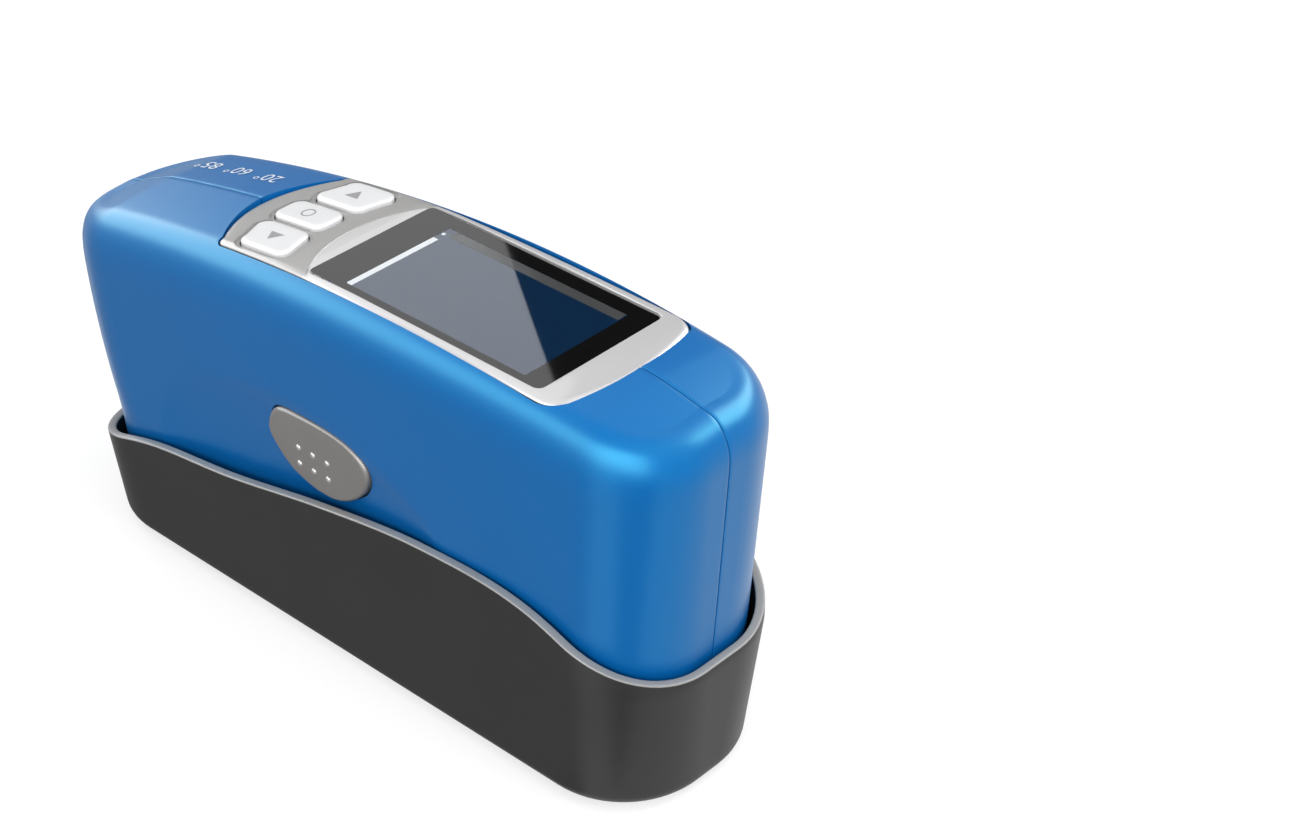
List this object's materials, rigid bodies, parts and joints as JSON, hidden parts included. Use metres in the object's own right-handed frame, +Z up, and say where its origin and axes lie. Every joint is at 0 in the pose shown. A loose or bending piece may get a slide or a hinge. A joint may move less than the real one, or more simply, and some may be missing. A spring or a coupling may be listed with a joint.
{
  "type": "gloss meter",
  "caption": "Hand-held surface gloss meter with a top display, keys and a side trigger button, standing in a contoured calibration base.",
  "frame": {"origin": "centre of the whole object's footprint, on the surface that the base's feet stand on", "axes": "+X towards the front end with the seam, -Y the side with the measure button, +Z up"},
  "size_m": [0.1594, 0.0448, 0.0823],
  "materials": {
    "blue_paint": "satin blue paint",
    "charcoal_plastic": "fine textured",
    "silver_paint": "satin silver paint",
    "window_glass": "clear with a black printed border",
    "black_plastic": "matt",
    "white_plastic": "satin",
    "warm_grey": "satin",
    "black_glass": "polished black glass, opaque",
    "rubber": "matt",
    "circuit_board": "solder resist",
    "battery_wrap": "shrink wrap",
    "steel": "bright",
    "lens_glass": "polished",
    "lamp_resin": "moulded resin",
    "receiver_can": "plated can"
  },
  "bodies": {
    "base": {"base_tub": "charcoal_plastic", "foot_1": "rubber", "foot_2": "rubber", "foot_3": "rubber", "foot_4": "rubber", "standard_tile": "black_glass", "tile_frame": "black_plastic", "tile_pad": "rubber"},
    "instrument": {"battery": "battery_wrap", "bottom_plate": "black_plastic", "bottom_screw_1": "steel", "bottom_screw_2": "steel", "bottom_screw_3": "steel", "bottom_screw_4": "steel", "buzzer": "black_plastic", "housing_left": "blue_paint", "housing_right": "blue_paint", "key_switch_down": "black_plastic", "key_switch_enter": "black_plastic", "key_switch_up": "black_plastic", "lcd_carrier": "white_plastic", "lcd_panel": "black_plastic", "main_board": "circuit_board", "measure_switch": "black_plastic", "optics_block": "black_plastic", "processor": "black_plastic", "receiver_20": "receiver_can", "receiver_60": "receiver_can", "receiver_85": "receiver_can", "receiver_lens_20": "lens_glass", "receiver_lens_60": "lens_glass", "receiver_lens_85": "lens_glass", "screen_window": "window_glass", "side_board": "circuit_board", "source_led_20": "lamp_resin", "source_led_60": "lamp_resin", "source_led_85": "lamp_resin", "source_lens_20": "lens_glass", "source_lens_60": "lens_glass", "source_lens_85": "lens_glass", "top_bezel": "silver_paint", "usb_socket": "steel"},
    "key_up": {"key_up": "white_plastic"},
    "key_enter": {"key_enter": "white_plastic"},
    "key_down": {"key_down": "white_plastic"},
    "measure_button": {"measure_button": "warm_grey"}
  },
  "joints": [
    {"name": "instrument_lift", "type": "slide", "parent": "base", "child": "instrument", "axis": [0, 0, 1], "range_m": [0, 0.09]},
    {"name": "key_up_press", "type": "slide", "parent": "instrument", "child": "key_up", "axis": [0, 0, -1], "range_m": [0, 0.0008], "stiffness_N_per_m": 400},
    {"name": "key_enter_press", "type": "slide", "parent": "instrument", "child": "key_enter", "axis": [0, 0, -1], "range_m": [0, 0.0008], "stiffness_N_per_m": 400},
    {"name": "key_down_press", "type": "slide", "parent": "instrument", "child": "key_down", "axis": [0, 0, -1], "range_m": [0, 0.0008], "stiffness_N_per_m": 400},
    {"name": "measure_button_press", "type": "slide", "parent": "instrument", "child": "measure_button", "axis": [0, 1, 0], "range_m": [0, 0.001], "stiffness_N_per_m": 400}
  ]
}
